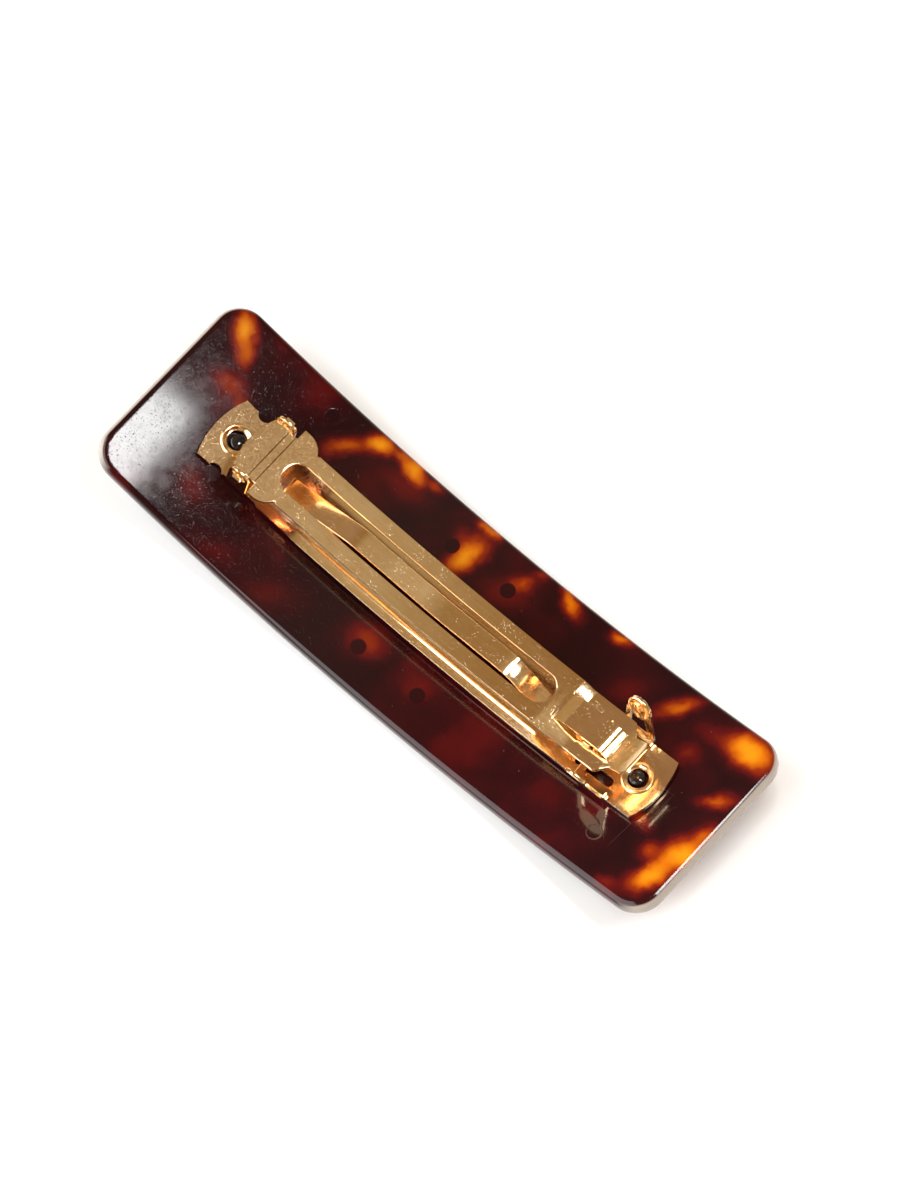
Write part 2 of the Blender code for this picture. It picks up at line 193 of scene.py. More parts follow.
# Light: name, place and aim in metres, size, radiance, colour
LIGHTS = (
    ("key", (0.100, 0.0475, 0.205), (0.100, 0.0475, 0.0), (0.110, 0.028), 30.0, (1.0, 1.0, 1.0)),
    ("end_glow", (0.0285, 0.035, 0.205), (0.0285, 0.035, 0.0), (0.026, 0.028), 35.0, (1.0, 1.0, 1.0)),
    ("left_fill", (-0.55, -0.60, 0.50), (0.0, 0.0, 0.0), (1.3, 1.3), 4.4, (0.93, 0.97, 1.0)),
)

# The tent's brightness from low to high, and its colour from the hinge side (-1) to the catch side (1)
TENT = (0.3, 0.75, 0.55, 0.36)
TENT_COLOURS = (
    (-1.0, (0.75, 0.55, 0.28)),
    (-0.54, (0.85, 0.54, 0.33)),
    (-0.34, (0.76, 0.45, 0.15)),
    (-0.09, (1.20, 0.98, 0.64)),
    (0.03, (0.95, 0.68, 0.36)),
    (0.14, (0.46, 0.26, 0.10)),
    (0.4, (0.70, 0.50, 0.28)),
    (1.0, (0.80, 0.64, 0.42)),
)

# Amber patches of the acetate: place along, across, half length, half width, turn in degrees, strength
PATCHES = (
    (-46.2, 12.3, 2.9, 1.5, -52, 0.95),
    (-43.6, 9.6, 1.9, 1.2, -60, 0.66),
    (-42.6, 5.2, 2.6, 1.8, 10, 0.52),
    (-39.2, 4.4, 1.6, 1.3, -20, 0.55),
    (-22.2, 13.3, 1.9, 1.5, 20, 0.97),
    (-25.3, 9.9, 3.6, 1.4, 52, 0.68),
    (-19.3, 14.3, 1.5, 0.9, 0, 0.62),
    (-16.5, 13.9, 2.3, 1.3, -15, 0.92),
    (-12.8, 14.3, 1.5, 0.8, 0, 0.58),
    (-15.8, 11.4, 3.4, 2.2, 10, 0.38),
    (-2.9, 14.5, 1.5, 0.9, 0, 0.76),
    (-3.1, 9.6, 3.2, 1.7, 82, 0.95),
    (-5.4, 11.4, 1.5, 1.2, 60, 0.42),
    (6.6, 14.2, 1.4, 0.9, 20, 0.46),
    (5.4, 11.4, 1.9, 1.2, 50, 0.60),
    (4.3, 9.2, 2.8, 2.5, 0, 0.36),
    (11.9, 14.0, 2.3, 1.1, -35, 0.80),
    (20.7, 14.4, 1.5, 1.1, 0, 0.76),
    (33.3, 11.3, 3.1, 1.3, 55, 0.74),
    (45.6, 12.4, 3.4, 2.4, 5, 1.00),
    (40.7, 11.4, 3.4, 1.6, 10, 0.40),
    (38.9, 6.7, 1.9, 1.6, 60, 0.42),
    (46.8, 4.1, 2.4, 1.1, 35, 0.66),
    (49.1, -0.6, 1.8, 1.3, 80, 0.66),
    (48.5, -4.6, 3.2, 2.0, 70, 0.98),
    (46.8, -9.6, 3.2, 1.7, 72, 0.95),
    (44.6, -6.6, 1.8, 1.4, 40, 0.60),
    (40.3, -4.0, 2.0, 1.1, 0, 0.52),
    (-5.0, -8.0, 2.8, 2.2, 30, 0.50),
    (4.5, -8.5, 2.2, 1.8, 30, 0.36),
    (43.1, -13.9, 1.7, 1.1, 20, 0.42),
    (-32.4, 12.6, 3.4, 2.4, 60, 0.30),
    (-28.5, -13.0, 3.9, 2.0, 20, 0.27),
    (-36.8, -8.3, 3.0, 2.1, -20, 0.34),
    (-19.6, -12.5, 3.6, 2.0, 35, 0.27),
    (26.0, 9.0, 3.4, 2.0, 50, 0.32),
    (14.0, -11.0, 4.4, 1.8, 40, 0.18),
)

# Round pin marks in the concave face: place along, across, in mm
PIN_MARKS = ((-5.6, 9.4), (4.3, 9.6), (-5.4, -9.7), (5.1, -9.6), (-29.4, 11.9), (36.6, -9.2))
PIN_MARK_RADIUS = 1.15

# Thin pale lines on the concave face, hairline scratches and among them painted reflections of the catch tab's
# edges: place along, across, half length in mm, turn in degrees
SCRATCHES_AND_TAB_REFLECTIONS = (
    (41.4, -0.8, 2.9, 88),
    (40.9, 1.3, 1.0, 5),
    (39.6, -7.1, 3.2, 86),
    (36.3, -7.1, 4.4, -47),
    (37.0, -8.4, 2.2, -50),
    (-30.5, 3.0, 6.0, 40),
    (-41.0, -3.0, 7.0, 68),
)
SCRATCH_AND_REFLECTION_HALF_WIDTH = 0.035


# Places on the two arcs

def plate_centre_height():
    return (PLATE_RADIUS + PLATE_THICK) * math.cos(PLATE_FACET / 2 / PLATE_RADIUS)


def on_plate(place, across, height):
    """World place in mm of a point at an arc length along the plate, above its concave face."""
    angle = place / PLATE_RADIUS
    radius = PLATE_RADIUS - height
    return Vector((radius * math.sin(angle), across, plate_centre_height() - radius * math.cos(angle)))


def clasp_centre_height():
    tip_angle = CLASP_HALF_LENGTH / CLASP_RADIUS
    tip = on_plate(CLASP_HALF_LENGTH, 0.0, GAP)
    return tip.z + CLASP_RADIUS * math.cos(tip_angle)


def on_clasp(place, across, height):
    """World place in mm of a point along the clasp, above the underside of its base."""
    angle = place / CLASP_RADIUS
    radius = CLASP_RADIUS - height
    return Vector((radius * math.sin(angle), across, clasp_centre_height() - radius * math.cos(angle)))


# Shapes drawn straight and then bent onto an arc

def share(place, start, end):
    """How far a place lies between two others, from 0 to 1."""
    return max(0.0, min(1.0, (place - start) / (end - start)))


def arc_points(centre, radius, start, end, count):
    points = []
    for index in range(count + 1):
        angle = math.radians(start + (end - start) * index / count)
        points.append((centre[0] + radius * math.cos(angle), centre[1] + radius * math.sin(angle)))
    return points


def circle_points(centre, radius, count=40):
    return arc_points(centre, radius, 0.0, 360.0, count)[:-1]


def slot_points(start, end, across, half_width, count=14):
    right = arc_points((end - half_width, across), half_width, -90.0, 90.0, count)
    left = arc_points((start + half_width, across), half_width, 90.0, 270.0, count)
    return right + left


def mirrored_outline(half):
    other = [(x, -y) for x, y in reversed(half) if abs(y) > 1e-6]
    return half + other


def inside(point, loop):
    crossings = False
    for index, (x1, y1) in enumerate(loop):
        x0, y0 = loop[index - 1]
        if (y0 > point[1]) != (y1 > point[1]):
            cut = x0 + (point[1] - y0) * (x1 - x0) / (y1 - y0)
            if cut > point[0]:
                crossings = not crossings
    return crossings


def lift_faces(mesh, vector):
    """Extrudes an open face into a closed body."""
    raised = bmesh.ops.extrude_face_region(mesh, geom=mesh.faces[:])["geom"]
    lifted = [item for item in raised if isinstance(item, bmesh.types.BMVert)]
    bmesh.ops.translate(mesh, vec=vector, verts=lifted)
    bmesh.ops.recalc_face_normals(mesh, faces=mesh.faces[:])
    return mesh


def slab(outline, holes, bottom, top):
    points = []
    edges = []
    for loop in [outline] + holes:
        first = len(points)
        points.extend(Vector(point) for point in loop)
        edges.extend((first + i, first + (i + 1) % len(loop)) for i in range(len(loop)))
    places, _, faces, *_ = delaunay_2d_cdt(points, edges, [], 1, 1e-6)
    mesh = bmesh.new()
    corners = [mesh.verts.new((place.x, place.y, bottom)) for place in places]
    for face in faces:
        middle = sum((places[i] for i in face), Vector((0.0, 0.0))) / len(face)
        if any(inside(middle, hole) for hole in holes) or not inside(middle, outline):
            continue
        mesh.faces.new([corners[i] for i in face])
    loose = [vert for vert in mesh.verts if not vert.link_faces]
    bmesh.ops.delete(mesh, geom=loose, context="VERTS")
    return lift_faces(mesh, (0.0, 0.0, top - bottom))


def block(low, high):
    outline = [(low[0], low[1]), (high[0], low[1]), (high[0], high[1]), (low[0], high[1])]
    return slab(outline, [], low[2], high[2])


def profile_solid(profile, side_a, side_b):
    mesh = bmesh.new()
    mesh.faces.new([mesh.verts.new((x, side_a, z)) for x, z in profile])
    return lift_faces(mesh, (0.0, side_b - side_a, 0.0))


def strip_profile(line, thick):
    upper = []
    lower = []
    for index, point in enumerate(line):
        before = Vector(line[max(index - 1, 0)])
        after = Vector(line[min(index + 1, len(line) - 1)])
        along = (after - before).normalized()
        normal = Vector((-along.y, along.x))
        upper.append(tuple(Vector(point) + normal * thick / 2))
        lower.append(tuple(Vector(point) - normal * thick / 2))
    return upper + lower[::-1]


def smooth_line(line, pieces):
    """A Catmull-Rom curve through the points."""
    points = [Vector(point) for point in line]
    result = []
    for index in range(len(points) - 1):
        p0 = points[max(index - 1, 0)]
        p1 = points[index]
        p2 = points[index + 1]
        p3 = points[min(index + 2, len(points) - 1)]
        for step in range(pieces):
            t = step / pieces
            result.append(tuple(0.5 * (2 * p1 + (p2 - p0) * t + (2 * p0 - 5 * p1 + 4 * p2 - p3) * t ** 2
                                       + (3 * p1 - p0 - 3 * p2 + p3) * t ** 3)))
    result.append(tuple(points[-1]))
    return result


def cut_at(mesh, place):
    geometry = mesh.verts[:] + mesh.edges[:] + mesh.faces[:]
    bmesh.ops.bisect_plane(mesh, geom=geometry, plane_co=(place, 0, 0), plane_no=(1, 0, 0), dist=1e-4)


def cut_across(mesh):
    low = min(vert.co.x for vert in mesh.verts)
    high = max(vert.co.x for vert in mesh.verts)
    place = (math.floor(low / FINE_STEP) + 0.37) * FINE_STEP
    while place < high:
        cut_at(mesh, place)
        place += FINE_STEP


def bend(mesh, place_on_arc):
    cut_across(mesh)
    for vert in mesh.verts:
        vert.co = place_on_arc(vert.co.x, vert.co.y, vert.co.z) * MM


def fuse(shapes, cutters=()):
    """One closed body from straight bmeshes: the first is joined with the others and then cut."""
    made = []
    for number, mesh in enumerate(list(shapes) + list(cutters)):
        data = bpy.data.meshes.new("straight_%d" % number)
        mesh.to_mesh(data)
        mesh.free()
        made.append(bpy.data.objects.new(data.name, data))
        bpy.context.scene.collection.objects.link(made[-1])
    for number, other in enumerate(made[1:], start=1):
        modifier = made[0].modifiers.new(other.name, "BOOLEAN")
        modifier.operation = "UNION" if number < len(shapes) else "DIFFERENCE"
        modifier.solver = "EXACT"
        modifier.object = other
    bpy.context.view_layer.update()
    result = bmesh.new()
    result.from_object(made[0], bpy.context.evaluated_depsgraph_get())
    for old in made:
        bpy.data.objects.remove(old, do_unlink=True)
    return result


def round_edges(mesh, width=METAL_EDGE):
    """Breaks the sharp edges of a straight body, as tumbled sheet metal has them."""
    bmesh.ops.remove_doubles(mesh, verts=mesh.verts[:], dist=1e-4)
    bmesh.ops.dissolve_limit(mesh, angle_limit=math.radians(1.0), verts=mesh.verts[:], edges=mesh.edges[:])
    sharp = [edge for edge in mesh.edges if edge.is_manifold and edge.calc_face_angle(0.0) > math.radians(40.0)]
    bmesh.ops.bevel(mesh, geom=sharp, offset=width, segments=2, profile=0.6, affect="EDGES",
                    clamp_overlap=True)


def add_piece(name, mesh, material, body, node):
    """Puts a finished mesh in place of its CAD node, with normals that follow the large faces."""
    data = bpy.data.meshes.new(name)
    mesh.to_mesh(data)
    mesh.free()
    data.shade_smooth()
    data.set_sharp_from_angle(angle=math.radians(50.0))
    data.materials.append(material)
    made = bpy.data.objects.new(name, data)
    bpy.context.scene.collection.objects.link(made)
    weighted = made.modifiers.new("large faces", "WEIGHTED_NORMAL")
    weighted.keep_sharp = True
    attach(made, body)
    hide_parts(node)
    return made


# Materials

class Graph:
    """A short way to add nodes to one material."""

    def __init__(self, name):
        self.material = bpy.data.materials.new(name)
        self.material.use_nodes = True
        self.nodes = self.material.node_tree.nodes
        self.links = self.material.node_tree.links
        self.shader = self.nodes["Principled BSDF"]
        self.place = self.nodes.new("ShaderNodeTexCoord").outputs["Object"]

    def put(self, value, socket):
        if isinstance(value, bpy.types.NodeSocket):
            self.links.new(value, socket)
        else:
            socket.default_value = value

    def maths(self, operation, first, second=0.0, third=0.0):
        node = self.nodes.new("ShaderNodeMath")
        node.operation = operation
        for socket, value in zip(node.inputs, (first, second, third)):
            self.put(value, socket)
        return node.outputs[0]

    def noise(self, vector, scale, detail=3.0, roughness=0.5):
        node = self.nodes.new("ShaderNodeTexNoise")
        self.put(vector, node.inputs["Vector"])
        node.inputs["Scale"].default_value = scale
        node.inputs["Detail"].default_value = detail
        node.inputs["Roughness"].default_value = roughness
        return node

    def moved(self, vector, location, turn, scale):
        """A vector in the frame of something at a location, turned about Z, divided by its size."""
        node = self.nodes.new("ShaderNodeMapping")
        node.vector_type = "TEXTURE"
        self.put(vector, node.inputs["Vector"])
        node.inputs["Location"].default_value = location
        node.inputs["Rotation"].default_value = (0.0, 0.0, turn)
        node.inputs["Scale"].default_value = scale
        return node.outputs[0]

    def length(self, vector):
        node = self.nodes.new("ShaderNodeVectorMath")
        node.operation = "LENGTH"
        self.put(vector, node.inputs[0])
        return node.outputs["Value"]

    def ramp(self, value, low, high, low_out=0.0, high_out=1.0):
        node = self.nodes.new("ShaderNodeMapRange")
        node.interpolation_type = "SMOOTHSTEP"
        for socket, number in zip(node.inputs, (value, low, high, low_out, high_out)):
            self.put(number, socket)
        return node.outputs[0]

    def colours(self, value, stops):
        node = self.nodes.new("ShaderNodeValToRGB")
        self.put(value, node.inputs[0])
        while len(node.color_ramp.elements) < len(stops):
            node.color_ramp.elements.new(1.0)
        for element, (place, colour) in zip(node.color_ramp.elements, stops):
            element.position = place
            element.color = (*colour, 1.0)
        return node.outputs[0]

    def mix(self, amount, first, second):
        node = self.nodes.new("ShaderNodeMix")
        node.data_type = "RGBA"
        self.put(amount, node.inputs["Factor"])
        for socket, value in ((node.inputs[6], first), (node.inputs[7], second)):
            self.put(value, socket)
        return node.outputs[2]

    def bump(self, height, strength, distance, normal=None):
        node = self.nodes.new("ShaderNodeBump")
        node.inputs["Strength"].default_value = strength
        node.inputs["Distance"].default_value = distance
        self.put(height, node.inputs["Height"])
        if normal is not None:
            self.put(normal, node.inputs["Normal"])
        return node.outputs[0]


def end_wall_painted_light(graph):
    """One on the upright walls round the plate's two ends, where a pale colour is painted light; zero elsewhere."""
    parts = graph.nodes.new("ShaderNodeSeparateXYZ")
    graph.put(graph.place, parts.inputs[0])
    x, y, z = parts.outputs
    below_centre = graph.maths("SUBTRACT", plate_centre_height() * MM, z)
    along = graph.maths("MULTIPLY", graph.maths("ARCTAN2", graph.maths("ABSOLUTE", x), below_centre),
                        PLATE_RADIUS * MM)
    past_x = graph.maths("SUBTRACT", along, (PLATE_LENGTH / 2 - PLATE_CORNER) * MM)
    past_y = graph.maths("SUBTRACT", graph.maths("ABSOLUTE", y), (PLATE_WIDTH / 2 - PLATE_CORNER) * MM)
    past_x = graph.maths("POWER", graph.maths("MAXIMUM", past_x, 0.0), 2.0)
    past_y = graph.maths("POWER", graph.maths("MAXIMUM", past_y, 0.0), 2.0)
    reach = graph.maths("SQRT", graph.maths("ADD", past_x, past_y))
    wall = graph.ramp(reach, (PLATE_CORNER - 0.4) * MM, (PLATE_CORNER - 0.15) * MM)
    return graph.maths("MULTIPLY", wall, graph.ramp(along, 0.0455, 0.0490))


def acetate():
    """Dark tortoiseshell with soft amber patches, polished, with dusty specks and hairline scratches, painted
    reflections of the catch tab's edges among them, and painted light on the pale end walls.
    """
    graph = Graph("tortoiseshell_acetate")
    warp = graph.noise(graph.place, 190.0, 3.0, 0.6)
    shift = graph.nodes.new("ShaderNodeVectorMath")
    shift.operation = "MULTIPLY_ADD"
    graph.put(warp.outputs["Color"], shift.inputs[0])
    shift.inputs[1].default_value = (0.0030, 0.0030, 0.0)
    centred = graph.nodes.new("ShaderNodeVectorMath")
    centred.operation = "SUBTRACT"
    graph.put(graph.place, centred.inputs[0])
    centred.inputs[1].default_value = (0.0015, 0.0015, 0.0)
    graph.put(centred.outputs[0], shift.inputs[2])
    warped = shift.outputs[0]

    total = 0.0
    for place, across, half_length, half_width, turn, strength in PATCHES:
        spot = on_plate(place, across, 0.0) * MM
        local = graph.moved(warped, (spot.x, spot.y, spot.z), math.radians(turn),
                            (half_length * MM, half_width * MM, 1.0))
        near = graph.ramp(graph.length(local), 0.0, 2.15, strength * 1.04, 0.0)
        total = graph.maths("ADD", graph.maths("POWER", near, 3.0), total)
    mottle = graph.ramp(graph.noise(warped, 90.0, 2.0).outputs["Fac"], 0.42, 0.75, 0.0, 0.30)
    total = graph.maths("ADD", graph.maths("POWER", mottle, 3.0), total)
    glow = graph.maths("POWER", total, 1.0 / 3.0)

    marks = 0.0
    for place, across in PIN_MARKS:
        spot = on_plate(place, across, 0.0) * MM
        local = graph.moved(graph.place, (spot.x, spot.y, spot.z), 0.0, (PIN_MARK_RADIUS * MM,) * 2 + (0.0015,))
        marks = graph.maths("MAXIMUM", graph.ramp(graph.length(local), 0.8, 1.08, 1.0, 0.0), marks)
    shade = graph.maths("MULTIPLY", glow, graph.maths("SUBTRACT", 1.0, graph.maths("MULTIPLY", marks, 0.8)))
    colour = graph.colours(shade, (
        (0.0, (0.0120, 0.0012, 0.0026)),
        (0.20, (0.0270, 0.0015, 0.0032)),
        (0.40, (0.0820, 0.0030, 0.0034)),
        (0.60, (0.2100, 0.0190, 0.0015)),
        (0.80, (0.4400, 0.0920, 0.0015)),
        (1.0, (0.6000, 0.2050, 0.0040)),
    ))
    dust_cells = graph.nodes.new("ShaderNodeTexVoronoi")
    graph.put(graph.place, dust_cells.inputs["Vector"])
    dust_cells.inputs["Scale"].default_value = 1100.0
    dust_near = graph.ramp(dust_cells.outputs["Distance"], 0.05, 0.12, 1.0, 0.0)
    dust_here = graph.ramp(graph.noise(graph.place, 420.0, 2.0).outputs["Fac"], 0.60, 0.66)
    dust_scratches_and_reflections = graph.maths("MULTIPLY", dust_near, dust_here)
    # Thin pale lines: hairline scratches, and painted reflections of the catch tab's edges among them.
    for place, across, half_length, turn in SCRATCHES_AND_TAB_REFLECTIONS:
        spot = on_plate(place, across, 0.0) * MM
        local = graph.moved(graph.place, (spot.x, spot.y, spot.z), math.radians(turn),
                            (half_length * MM, SCRATCH_AND_REFLECTION_HALF_WIDTH * MM, 0.002))
        dust_scratches_and_reflections = graph.maths("MAXIMUM", dust_scratches_and_reflections, graph.ramp(graph.length(local), 0.6, 1.0, 0.35, 0.0))
    colour = graph.mix(graph.maths("MULTIPLY", dust_scratches_and_reflections, 0.3), colour, (0.22, 0.21, 0.21, 1.0))
    # Pale colour on the plate's end walls: painted light.
    colour = graph.mix(end_wall_painted_light(graph), colour, (0.40, 0.345, 0.30, 1.0))
    graph.put(colour, graph.shader.inputs["Base Color"])

    streaks = graph.noise(graph.moved(graph.place, (0, 0, 0), math.radians(25.0), (8.0, 1.0, 1.0)), 5200.0, 4.0)
    scratch = graph.ramp(streaks.outputs["Fac"], 0.62, 0.72)
    haze = graph.noise(graph.place, 700.0, 3.0, 0.6).outputs["Fac"]
    rough = graph.maths("ADD", graph.ramp(haze, 0.3, 0.8, 0.07, 0.11), graph.maths("MULTIPLY", scratch, 0.04))
    graph.put(rough, graph.shader.inputs["Roughness"])
    grain = graph.noise(graph.place, 4200.0, 2.0, 0.6).outputs["Fac"]
    sand = graph.ramp(grain, 0.62, 0.76)
    dimple = graph.bump(graph.maths("SUBTRACT", 1.0, marks), 0.15, 0.0001)
    graph.put(graph.bump(sand, 1.0, 0.000004, dimple), graph.shader.inputs["Normal"])
    graph.shader.inputs["IOR"].default_value = 1.40
    return graph.material


def dark_plastic():
    """Nearly black, polished plastic of the two pegs."""
    graph = Graph("peg_plastic")
    cloud = graph.noise(graph.place, 600.0, 2.0).outputs["Fac"]
    graph.put(graph.colours(cloud, ((0.3, (0.012, 0.009, 0.009)), (0.7, (0.022, 0.014, 0.014)))),
              graph.shader.inputs["Base Color"])
    graph.shader.inputs["Roughness"].default_value = 0.08
    return graph.material


def painted_shade_and_reflection(graph):
    """Two masks on the base strip: a painted shade strip below the bow spring, and a painted reddish reflection on
    the end near the hinge.
    """
    parts = graph.nodes.new("ShaderNodeSeparateXYZ")
    graph.put(graph.place, parts.inputs[0])
    x, y, _ = parts.outputs
    middle = (SHADE_STRIP_START + SHADE_STRIP_END) / 2 * MM
    half_length = (SHADE_STRIP_END - SHADE_STRIP_START) / 2 * MM
    past_middle = graph.maths("ABSOLUTE", graph.maths("SUBTRACT", x, middle))
    along = graph.ramp(past_middle, half_length - 2.0 * MM, half_length, 1.0, 0.0)
    across = graph.ramp(graph.maths("ABSOLUTE", y), SHADE_STRIP_HALF_WIDTH * MM, (SHADE_STRIP_HALF_WIDTH + 0.15) * MM,
                        1.0, 0.0)
    arc = graph.moved(graph.place, (0.0, 0.0, clasp_centre_height() * MM), 0.0,
                      (CLASP_RADIUS * MM, 1000.0, CLASP_RADIUS * MM))
    low = graph.ramp(graph.length(arc), 1 - 1.05 / CLASP_RADIUS, 1 - 0.95 / CLASP_RADIUS)
    shade_strip = graph.maths("MULTIPLY", graph.maths("MULTIPLY", along, across), low)
    speckle = graph.ramp(graph.noise(graph.place, 1500.0, 3.0, 0.7).outputs["Fac"], 0.40, 0.62, 0.55, 0.95)
    past_hinge = graph.ramp(x, RED_REFLECTION_START * MM, (RED_REFLECTION_START + 1.0) * MM)
    before_end = graph.ramp(x, (RED_REFLECTION_END - 1.0) * MM, RED_REFLECTION_END * MM, 1.0, 0.0)
    red_reflection = graph.maths("MULTIPLY", graph.maths("MULTIPLY", past_hinge, before_end), graph.maths("MULTIPLY", low, speckle))
    return shade_strip, red_reflection


def gold():
    """Bright gold plating on rolled strip, with fine streaks and patches of pits, painted shade in two crease
    lines, a painted shade strip below the bow spring and a painted reddish reflection near the hinge.
    """
    graph = Graph("gold_plate")
    streak = graph.noise(graph.moved(graph.place, (0, 0, 0), 0.0, (14.0, 1.0, 1.0)), 2600.0, 4.0)
    cloud = graph.noise(graph.place, 240.0, 4.0)
    grain = graph.noise(graph.place, 4200.0, 3.0, 0.7)
    cells = graph.nodes.new("ShaderNodeTexVoronoi")
    graph.put(graph.place, cells.inputs["Vector"])
    cells.inputs["Scale"].default_value = 3900.0
    pits = graph.maths("MULTIPLY", graph.ramp(cells.outputs["Distance"], 0.10, 0.22, 1.0, 0.0),
                       graph.ramp(graph.noise(graph.place, 380.0, 3.0, 0.7).outputs["Fac"], 0.49, 0.60))
    tone = graph.maths("ADD", graph.maths("MULTIPLY", cloud.outputs["Fac"], 0.6),
                       graph.maths("MULTIPLY", streak.outputs["Fac"], 0.4))
    colour = graph.colours(tone, (
        (0.30, (0.89, 0.61, 0.330)),
        (0.50, (0.96, 0.69, 0.395)),
        (0.70, (0.99, 0.75, 0.470)),
    ))
    colour = graph.mix(graph.maths("MULTIPLY", pits, 0.6), colour, (1.0, 0.83, 0.52, 1.0))
    # Painted shade: two thin blackish-brown crease lines across the arm near the hinge.
    crease_shade = 0.0
    for crease_place in CREASE_SHADE_PLACES:
        spot = on_clasp(crease_place, 0.0, PIVOT_HEIGHT + ARM_THICK / 2) * MM
        local = graph.moved(graph.place, (spot.x, spot.y, spot.z), 0.0, CREASE_SHADE_SIZE)
        crease_shade = graph.maths("MAXIMUM", crease_shade, graph.ramp(graph.length(local), 0.6, 1.0, 1.0, 0.0))
    colour = graph.mix(graph.maths("MULTIPLY", crease_shade, 0.8), colour, (0.16, 0.07, 0.02, 1.0))
    shade_strip, red_reflection = painted_shade_and_reflection(graph)
    # Painted reflection: speckled reddish patch on the base near the hinge.
    colour = graph.mix(red_reflection, colour, (0.52, 0.27, 0.20, 1.0))
    # Painted shade strip below the bow spring.
    colour = graph.mix(shade_strip, colour, (0.055, 0.012, 0.012, 1.0))
    graph.put(colour, graph.shader.inputs["Base Color"])
    rough = graph.ramp(grain.outputs["Fac"], 0.35, 0.7, 0.12, 0.20)
    rough = graph.maths("ADD", rough, graph.maths("MULTIPLY", pits, 0.25))
    graph.put(rough, graph.shader.inputs["Roughness"])
    fine = graph.maths("ADD", graph.maths("MULTIPLY", streak.outputs["Fac"], 0.6), pits)
    graph.put(graph.bump(fine, 1.0, 0.000006), graph.shader.inputs["Normal"])
    graph.shader.inputs["Metallic"].default_value = 1.0
    return graph.material


def floor_paint():
    graph = Graph("studio_floor")
    paper = graph.noise(graph.place, 30.0, 2.0).outputs["Fac"]
    graph.put(graph.colours(paper, ((0.3, (0.93, 0.94, 0.95)), (0.7, (0.94, 0.95, 0.96)))),
              graph.shader.inputs["Base Color"])
    graph.shader.inputs["Roughness"].default_value = 0.9
    graph.shader.inputs["Specular IOR Level"].default_value = 0.1
    return graph.material


# Plate and pegs

def plate_outline(inset):
    reach_x = PLATE_LENGTH / 2 - PLATE_CORNER
    reach_y = PLATE_WIDTH / 2 - PLATE_CORNER
    radius = PLATE_CORNER - inset
    outline = []
    for sign_x, sign_y, start in ((1, 1, 0.0), (-1, 1, 90.0), (-1, -1, 180.0), (1, -1, 270.0)):
        outline.extend(arc_points((sign_x * reach_x, sign_y * reach_y), radius, start, start + 90.0, 14))
    return outline


def ring_body(loops):
    """A closed body from rings of points, one above another, capped at both ends."""
    mesh = bmesh.new()
    rings = [[mesh.verts.new(point) for point in loop] for loop in loops]
    for lower, upper in zip(rings, rings[1:]):
        for index in range(len(lower)):
            after = (index + 1) % len(lower)
            mesh.faces.new((lower[index], lower[after], upper[after], upper[index]))
    mesh.faces.new(rings[0][::-1])
    mesh.faces.new(rings[-1])
    return mesh


def build_plate(material):
    fillet_steps = 8
    levels = [(PLATE_EDGE * 1.4, -PLATE_UNDERSIDE)]
    for step in range(fillet_steps + 1):
        angle = math.radians(90.0 * step / fillet_steps)
        levels.append((PLATE_EDGE * (1 - math.sin(angle)), -PLATE_UNDERSIDE + PLATE_EDGE * (1 - math.cos(angle))))
    for step in range(fillet_steps, -1, -1):
        angle = math.radians(90.0 * step / fillet_steps)
        levels.append((PLATE_EDGE * (1 - math.sin(angle)), -PLATE_EDGE * (1 - math.cos(angle))))
    levels.append((PLATE_EDGE * 1.4, 0.0))
    mesh = ring_body([[(x, y, height) for x, y in plate_outline(inset)] for inset, height in levels])
    bend(mesh, on_plate)
    add_piece("plate_shell", mesh, material, "back", "plate")


def build_pegs(material):
    for end, place, top, dome in PEGS:
        levels = [(PEG_RADIUS, GAP), (PEG_RADIUS, top * 0.9)]
        for step in range(9):
            angle = math.radians(90.0 * step / 8.4)
            levels.append((PEG_RADIUS * math.cos(angle), top + dome * math.sin(angle)))
        mesh = ring_body([[(x, y, height) for x, y in circle_points((place, 0.0), radius)]
                          for radius, height in levels])
        bend(mesh, on_plate)
        add_piece("peg_%s_dome" % end, mesh, material, "back", "peg_%s_end" % end)


# Base

def base_half_outline():
    tip = CLASP_HALF_LENGTH
    fan = math.degrees(math.asin(BASE_HALF_WIDTH / 13.2))
    centre = (-tip + 13.2, 0.0)
    left = arc_points(centre, 13.2, 180.0, 180.0 - fan, 8)
    right = [(-x, y) for x, y in reversed(left)]
    notch = arc_points((-35.75, BASE_HALF_WIDTH + 0.35), 1.15, 200.0, 340.0, 10)
    waist = [(-34.4, BASE_HALF_WIDTH - BASE_WAIST), (-28.7, BASE_HALF_WIDTH - BASE_WAIST), (-28.2, BASE_HALF_WIDTH)]
    return left + [(-37.3, BASE_HALF_WIDTH - 0.1)] + notch + waist + right


def ear_profile():
    foot = BASE_THICK / 2
    round_top = arc_points((PIVOT_PLACE, PIVOT_HEIGHT), EAR_RADIUS, 0.0, 180.0, 24)
    return [(PIVOT_PLACE + EAR_RADIUS, foot)] + round_top + [(PIVOT_PLACE - EAR_RADIUS, foot)]


